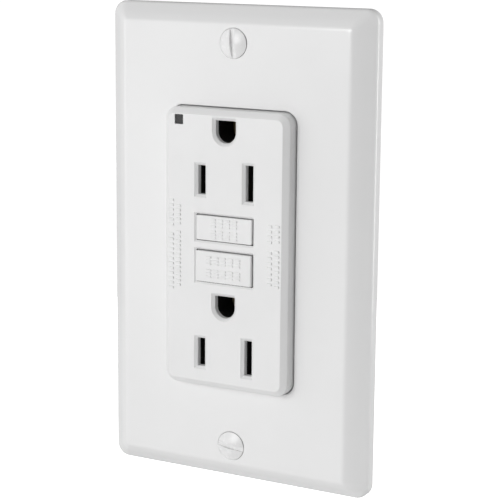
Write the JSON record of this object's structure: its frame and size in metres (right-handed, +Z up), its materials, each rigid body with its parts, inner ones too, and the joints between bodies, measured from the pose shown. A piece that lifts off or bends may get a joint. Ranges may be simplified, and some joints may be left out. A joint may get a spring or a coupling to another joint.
{
  "type": "GFCI duplex receptacle with wall plate",
  "caption": "White wall outlet with ground-fault test and reset buttons, slotted duplex face, bevelled cover plate and screwed rear housing.",
  "frame": {"origin": "on the wall's surface, midway between the two box screws", "axes": "+X right and +Z up as seen by a person facing the wall, +Y into the wall; the face looks along -Y"},
  "size_m": [0.0698, 0.0385, 0.1142],
  "materials": {
    "plate_white": "glossy moulded thermoplastic",
    "face_white": "satin moulded thermoplastic",
    "screw_enamel": "white enamelled steel",
    "lens_smoke": "dark smoked light pipe",
    "zinc_steel": "zinc plated sheet steel",
    "nickel_steel": "nickel plated steel",
    "spring_steel": "drawn spring wire",
    "green_zinc": "green passivated steel",
    "brass": "stamped brass",
    "copper": "copper alloy",
    "silver": "silver contact alloy",
    "fibre": "red vulcanised fibre",
    "housing_plastic": "matt moulded thermoplastic",
    "inner_plastic": "black nylon",
    "coated_core": "coated ferrite ring",
    "board_green": "solder-masked laminate",
    "component_black": "moulded epoxy",
    "component_orange": "dipped epoxy",
    "component_tan": "lacquered ceramic",
    "led_lens": "green lamp epoxy"
  },
  "bodies": {
    "device": {"wall_plate": "plate_white", "plate_screws": "screw_enamel", "front_cover": "face_white", "indicator_lens": "lens_smoke", "mounting_yoke": "zinc_steel", "box_screws": "zinc_steel", "screw_retainers": "fibre", "upper_ground_contact": "brass", "lower_ground_contact": "brass", "ground_rivets": "brass", "ground_screw": "green_zinc", "ground_clamp": "zinc_steel", "middle_housing": "housing_plastic", "rear_housing": "housing_plastic", "housing_screws": "zinc_steel", "hot_contact_frame": "brass", "neutral_contact_frame": "brass", "fixed_contacts": "silver", "load_terminals": "brass", "line_terminals": "brass", "brass_terminal_screws": "brass", "silver_terminal_screws": "nickel_steel", "wire_clamps": "zinc_steel", "hot_line_bus": "brass", "neutral_line_bus": "brass", "reset_spring": "spring_steel", "solenoid_frame": "zinc_steel", "solenoid_bobbin": "inner_plastic", "solenoid_coil": "copper", "plunger_spring": "spring_steel", "test_contact": "nickel_steel", "sensor_rings": "coated_core", "sensor_boat": "inner_plastic", "circuit_board": "board_green", "controller_chip": "component_black", "thyristor": "component_black", "varistor": "component_orange", "filter_capacitor": "component_orange", "resistors": "component_tan", "indicator_led": "led_lens"},
    "test_button": {"test_button": "face_white"},
    "reset_button": {"reset_button": "face_white", "reset_pin": "nickel_steel"},
    "plunger": {"solenoid_plunger": "nickel_steel"},
    "carriage": {"contact_carriage": "inner_plastic"},
    "latch_plate": {"latch_plate": "nickel_steel"},
    "hot_arm": {"hot_contact_arm": "copper"},
    "neutral_arm": {"neutral_contact_arm": "copper"},
    "test_leaf": {"test_leaf": "copper"}
  },
  "joints": [
    {"name": "test_press", "type": "slide", "parent": "device", "child": "test_button", "axis": [0, 1, 0], "range_m": [0, 0.0012], "stiffness_N_per_m": 400, "springref_m": -0.002},
    {"name": "reset_press", "type": "slide", "parent": "device", "child": "reset_button", "axis": [0, 1, 0], "range_m": [0, 0.0027], "stiffness_N_per_m": 400, "springref_m": -0.003, "deforming": ["reset_spring"]},
    {"name": "plunger_travel", "type": "slide", "parent": "device", "child": "plunger", "axis": [0, 0, 1], "range_m": [-0.0009, 0], "stiffness_N_per_m": 60, "springref_m": -0.003, "deforming": ["plunger_spring"]},
    {"name": "carriage_travel", "type": "slide", "parent": "device", "child": "carriage", "axis": [0, 1, 0], "range_m": [-0.001, 0], "stiffness_N_per_m": 200, "springref_m": 0.002},
    {"name": "latch_slide", "type": "slide", "parent": "carriage", "child": "latch_plate", "axis": [0, 0, 1], "range_m": [-0.0009, 0]},
    {"name": "hot_arm_lift", "type": "hinge", "parent": "device", "child": "hot_arm", "pos_m": [-0.0075, 0.0128, -0.0176], "axis": [1, 0, 0], "range_deg": [0, 4.19]},
    {"name": "neutral_arm_lift", "type": "hinge", "parent": "device", "child": "neutral_arm", "pos_m": [0.0075, 0.0128, -0.0176], "axis": [1, 0, 0], "range_deg": [0, 4.19]},
    {"name": "test_leaf_bend", "type": "hinge", "parent": "device", "child": "test_leaf", "pos_m": [-0.0083, 0.00045, 0.00535], "axis": [0, 0, 1], "range_deg": [0, 8.3]}
  ],
  "couplings": [
    {"joint": "latch_slide", "follows": "plunger_travel", "ratio": 1},
    {"joint": "hot_arm_lift", "follows": "carriage_travel", "rad_per_m": -72.727},
    {"joint": "neutral_arm_lift", "follows": "carriage_travel", "rad_per_m": -72.727},
    {"joint": "test_leaf_bend", "follows": "test_press", "rad_per_m": 120.48}
  ]
}
